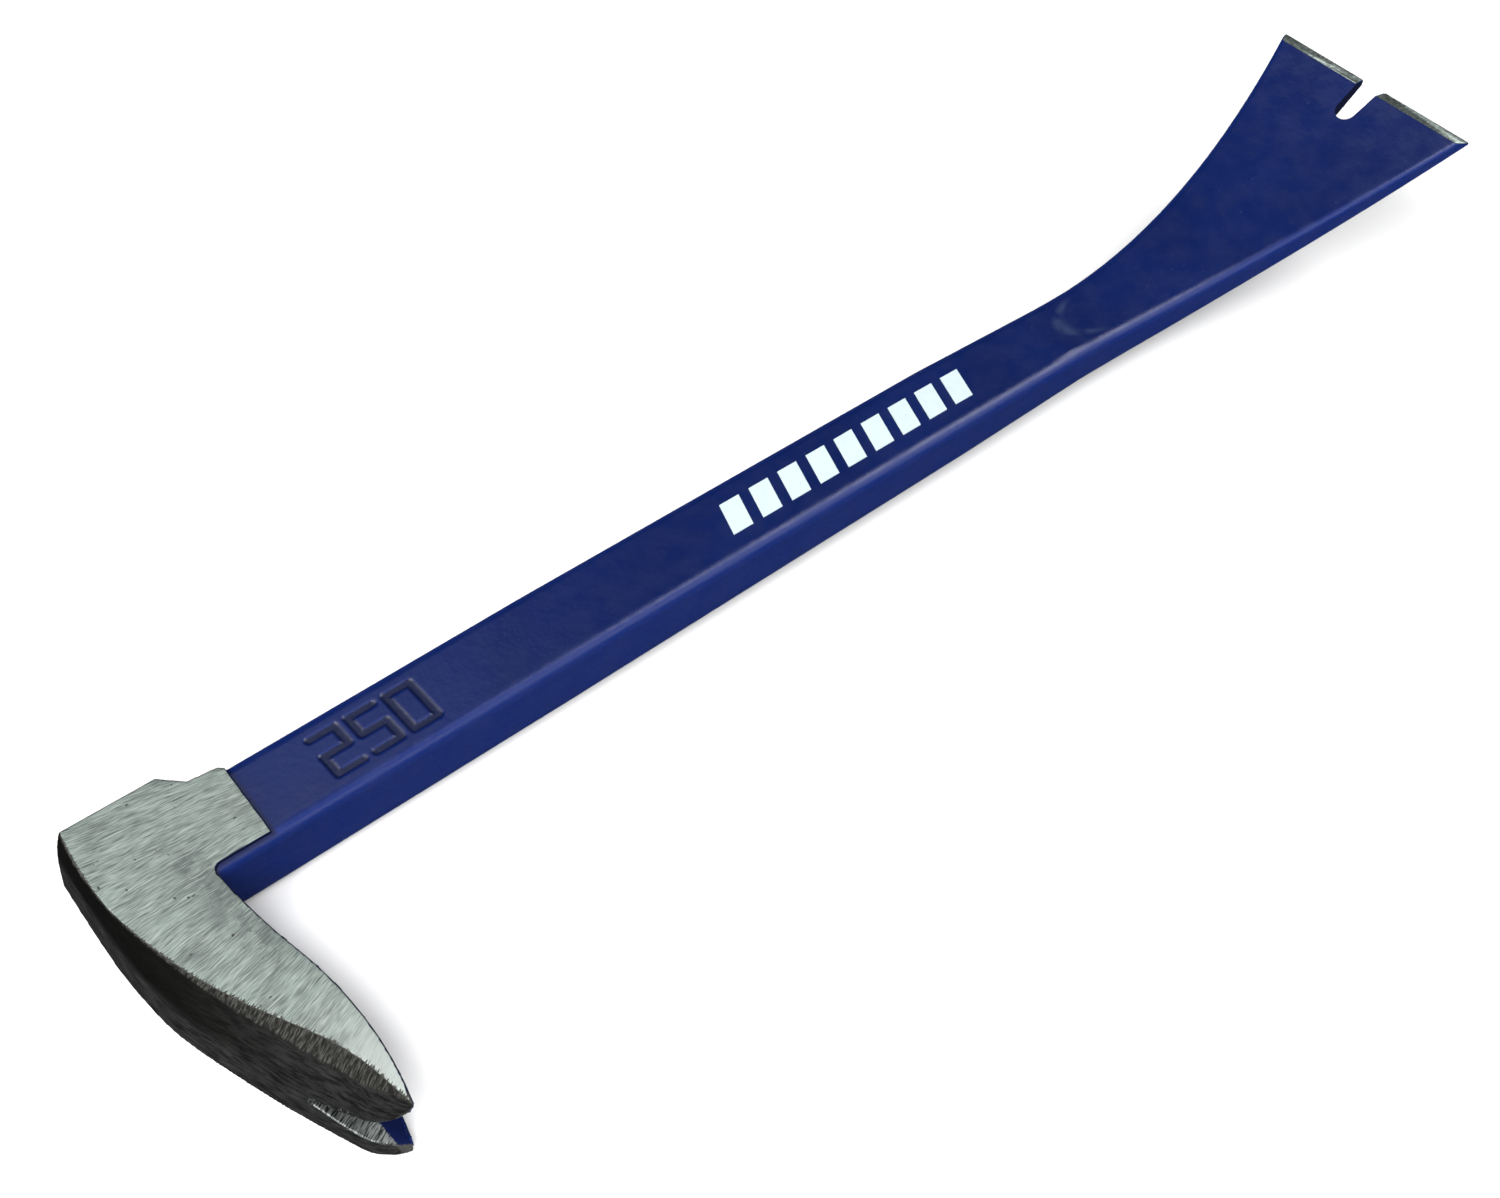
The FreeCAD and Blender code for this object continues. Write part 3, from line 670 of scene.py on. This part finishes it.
def enamel_ring(x):
    """Closed ring of points round the painted section at x."""
    half, low, high, corner = bar_limits(x)
    half, low, high, corner = half + COAT, low - COAT, high + COAT, corner + COAT
    flat_y = half - corner
    y = np.linspace(-flat_y, flat_y, FLAT_STEPS + 1)
    ring = [np.stack([y, high + relief(np.full_like(y, x), y)], 1)]

    def arc(centre_y, centre_z, start):
        angle = np.radians(start - np.linspace(0, 90, CORNER_STEPS + 1)[1:-1])
        ring.append(np.stack([centre_y + corner * np.cos(angle), centre_z + corner * np.sin(angle)], 1))

    def line(start, end, steps):
        share = np.linspace(0, 1, steps + 1)[:, None]
        ring.append(np.array(start) * (1 - share) + np.array(end) * share)

    arc(flat_y, high - corner, 90)
    line((half, high - corner), (half, low + corner), SIDE_STEPS)
    arc(flat_y, low + corner, 0)
    line((flat_y, low), (-flat_y, low), UNDER_STEPS)
    arc(-flat_y, low + corner, -90)
    line((-half, low + corner), (-half, high - corner), SIDE_STEPS)
    arc(-flat_y, high - corner, 180)
    ring = np.concatenate(ring)
    return np.column_stack([np.full(len(ring), x), ring])


def lofted_mesh(name, rings):
    """Closed mesh through rings of equal length."""
    count = len(rings[0])
    points = place(np.concatenate(rings))
    faces = []
    for ring in range(len(rings) - 1):
        first = ring * count
        for index in range(count):
            following = (index + 1) % count
            faces.append((first + index, first + following, first + count + following, first + count + index))
    faces.append(tuple(reversed(range(count))))
    last = (len(rings) - 1) * count
    faces.append(tuple(range(last, last + count)))
    mesh = bpy.data.meshes.new(name)
    mesh.from_pydata(points.tolist(), [], faces)
    work = bmesh.new()
    work.from_mesh(mesh)
    bmesh.ops.recalc_face_normals(work, faces=work.faces)
    work.to_mesh(mesh)
    work.free()
    return mesh


BEVEL_LENGTH = 2.4
BEVEL_DROP = 0.35
EDGE_SKEW = math.radians(2.3)
BARE_EDGE = 0.1                  # the steel stands this far out of the enamel at the blade's edge
SLOT_DEPTH = 9.6
SLOT_MOUTH = 4.6
SLOT_END = 3.6


def cut_edge(mesh):
    """Trim the enamel along the blade's skewed edge and its ground bevel."""
    work = bmesh.new()
    work.from_mesh(mesh)
    for back, drop in ((0.0, None), (BEVEL_LENGTH, BEVEL_DROP / BEVEL_LENGTH)):
        start_x = OVERALL_LENGTH - back
        half, _, high, _ = bar_limits(start_x)
        run = start_x - NECK
        slope = run / math.sqrt(BLADE_TOP_RADIUS ** 2 - run ** 2)
        along = Vector((-math.sin(EDGE_SKEW), math.cos(EDGE_SKEW), -slope * math.sin(EDGE_SKEW)))
        if drop is None:
            facing = Vector((math.cos(EDGE_SKEW), math.sin(EDGE_SKEW), 0.0))
        else:
            facing = Vector((math.cos(EDGE_SKEW), math.sin(EDGE_SKEW), -drop)).cross(along)
        facing.normalize()
        start = Vector((start_x, -half, high)) - facing * BARE_EDGE
        everything = work.verts[:] + work.edges[:] + work.faces[:]
        bmesh.ops.bisect_plane(work, geom=everything, plane_co=place([start])[0], plane_no=facing,
                               clear_outer=True)
        open_edges = [edge for edge in work.edges if edge.is_boundary]
        bmesh.ops.holes_fill(work, edges=open_edges, sides=0)
    work.to_mesh(mesh)
    work.free()


def slot_cutter():
    """Prism of the tapered, round-ended slot in the blade's edge."""
    centre_x = OVERALL_LENGTH - SLOT_DEPTH + SLOT_END / 2
    angle = np.radians(np.linspace(90, 270, 25))
    outline = [(centre_x + SLOT_END / 2 * math.cos(a), SLOT_END / 2 * math.sin(a)) for a in angle]
    outline += [(OVERALL_LENGTH + 4, -SLOT_MOUTH / 2 - 0.2), (OVERALL_LENGTH + 4, SLOT_MOUTH / 2 + 0.2)]
    rings = [np.array([(x, y, z) for x, y in outline]) for z in (8.0, 45.0)]
    return make_object("slot_cutter", lofted_mesh("slot_cutter", rings))


def enamel_bar():
    """The painted shank and blade, over the forging."""
    rings = [enamel_ring(x) for x in enamel_stations()]
    mesh = lofted_mesh("blue_enamel_bar", rings)
    cut_edge(mesh)
    piece = make_object("blue_enamel_bar", mesh)
    cutter = slot_cutter()
    cut = piece.modifiers.new("slot", "BOOLEAN")
    cut.operation = "DIFFERENCE"
    cut.solver = "EXACT"
    cut.object = cutter
    apply_modifiers(piece)
    bpy.data.objects.remove(cutter)
    return piece


INNER_SKIN_SIDE = -6.2
INNER_SKIN_EDGE = 0.55           # bare along the ground faces


def inner_face_skin(head):
    """Enamel on the claw's inner face, lifted off the head's own mesh."""
    work = bmesh.new()
    work.from_mesh(head.data)
    work.normal_update()
    unwanted = []
    for face in work.faces:
        x, y, z = face.calc_center_median() / MM - ORIGIN
        edge = INNER_SKIN_EDGE + 0.15 * noise.noise(Vector((x, y, z)) * 0.9)
        keep = face.normal.x > 0.45 and -46.6 < y < INNER_SKIN_SIDE and x > 12.5
        keep = keep and edge < z < HEAD_THICKNESS - edge
        if not keep:
            unwanted.append(face)
    bmesh.ops.delete(work, geom=unwanted, context="FACES")
    mesh = bpy.data.meshes.new("inner_face_skin")
    work.to_mesh(mesh)
    work.free()
    piece = make_object("inner_face_skin", mesh)
    thicken = piece.modifiers.new("thicken", "SOLIDIFY")
    thicken.thickness = 0.3 * MM
    thicken.offset = 0.0
    return apply_modifiers(piece)


# ---------------------------------------------------------------- build
head = forged_head()
core = forged_core()
inner_face = inner_face_skin(head)
steel = join([head, core], "forged_steel")
mark_steel(steel.data)
finish_piece(steel, "forged_bar", bare_steel())
paint = join([enamel_bar(), inner_face], "blue_enamel")
finish_piece(paint, "blue_coating", enamel())
for piece, angle in ((steel, 40), (paint, 35)):
    piece.data.shade_smooth()
    piece.data.set_sharp_from_angle(angle=math.radians(angle))

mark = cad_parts["printed_mark"]
mark.data.materials.clear()
mark.data.materials.append(ink())

# ---------------------------------------------------------------- floor, lights and camera
FLOOR_SIZE = 1.5
BACKDROP_RADIUS = 4.0


def floor():
    """Plain pale floor under the tool."""
    half = FLOOR_SIZE / 2
    mesh = bpy.data.meshes.new("floor")
    corners = [(-half, -half), (half, -half), (half, half), (-half, half)]
    mesh.from_pydata([(x, y, -0.0002) for x, y in corners], [], [(0, 1, 2, 3)])
    shader = Shader("floor_white")
    shader.surface.inputs["Base Color"].default_value = (0.92, 0.92, 0.92, 1)
    shader.surface.inputs["Roughness"].default_value = 0.9
    mesh.materials.append(shader.material)
    ground = make_object("floor", mesh)
    ground.visible_glossy = False


def backdrop():
    """Plain pale surroundings beyond the floor's edge; they light nothing."""
    mesh = bpy.data.meshes.new("backdrop")
    work = bmesh.new()
    bmesh.ops.create_uvsphere(work, u_segments=48, v_segments=24, radius=BACKDROP_RADIUS)
    work.to_mesh(mesh)
    work.free()
    shader = Shader("backdrop_white")
    mesh.materials.append(shader.set(Base_Color=(0.9, 0.9, 0.9, 1), Emission_Color=(1, 1, 1, 1),
                                     Emission_Strength=0.95))
    surround = make_object("backdrop", mesh)
    surround.visible_diffuse = False
    surround.visible_glossy = False


def area_light(name, spot, target, width, depth, power, colour=(1, 1, 1)):
    """Soft rectangular light that points at a target."""
    light = bpy.data.lights.new(name, "AREA")
    light.shape = "RECTANGLE"
    light.size = width
    light.size_y = depth
    light.energy = power
    light.color = colour
    lamp = bpy.data.objects.new(name, light)
    lamp.location = spot
    lamp.rotation_euler = (Vector(target) - Vector(spot)).to_track_quat("-Z", "Y").to_euler()
    bpy.context.scene.collection.objects.link(lamp)


def studio():
    """Dim surroundings and large soft lights."""
    world = bpy.data.worlds.new("studio")
    world.use_nodes = True
    background = world.node_tree.nodes["Background"]
    background.inputs["Color"].default_value = (0.92, 0.97, 1.0, 1)
    background.inputs["Strength"].default_value = 0.035
    bpy.context.scene.world = world
    area_light("fill", (-0.7, -0.6, 0.9), (0, 0, 0), 0.9, 0.9, 19.0)
    area_light("overhead", (-0.85, 0.15, 0.9), (0, 0, 0), 0.9, 0.9, 14.0)
    area_light("right", (0.9, -0.3, 1.0), (0, 0, 0), 0.7, 0.7, 8.0)
    area_light("head_window", (-0.04, 0.125, 0.31), (-0.11, -0.02, 0.01), 0.14, 0.18, 0.095)
    area_light("edge_window", (0.24, -0.46, 0.29), (0, 0, 0), 0.6, 0.3, 0.85)
    bpy.context.scene.view_settings.view_transform = "Standard"


VIEW_SPOT = Vector((-58.2, -143.5, 245.4))
VIEW_TURN = math.radians(49.98)
VIEW_DOWN = math.radians(49.05)
VIEW_ROLL = math.radians(10.54)
LENS = 52.6


def camera():
    """Camera at the viewing angle of the product picture."""
    right = Vector((math.cos(VIEW_TURN), -math.sin(VIEW_TURN), 0))
    level = Vector((math.sin(VIEW_TURN), math.cos(VIEW_TURN), 0))
    up = Vector((0, 0, 1))
    forward = level * math.cos(VIEW_DOWN) - up * math.sin(VIEW_DOWN)
    above = level * math.sin(VIEW_DOWN) + up * math.cos(VIEW_DOWN)
    axis_x = right * math.cos(VIEW_ROLL) + above * math.sin(VIEW_ROLL)
    axis_y = above * math.cos(VIEW_ROLL) - right * math.sin(VIEW_ROLL)
    data = bpy.data.cameras.new("camera")
    data.lens = LENS
    data.sensor_width = 36
    data.sensor_fit = "HORIZONTAL"
    data.clip_start = 0.01
    eye = bpy.data.objects.new("camera", data)
    turn = Matrix((axis_x, axis_y, -forward)).transposed().to_4x4()
    eye.matrix_world = Matrix.Translation(place([VIEW_SPOT])[0]) @ turn
    bpy.context.scene.collection.objects.link(eye)
    bpy.context.scene.camera = eye


floor()
backdrop()
studio()
camera()
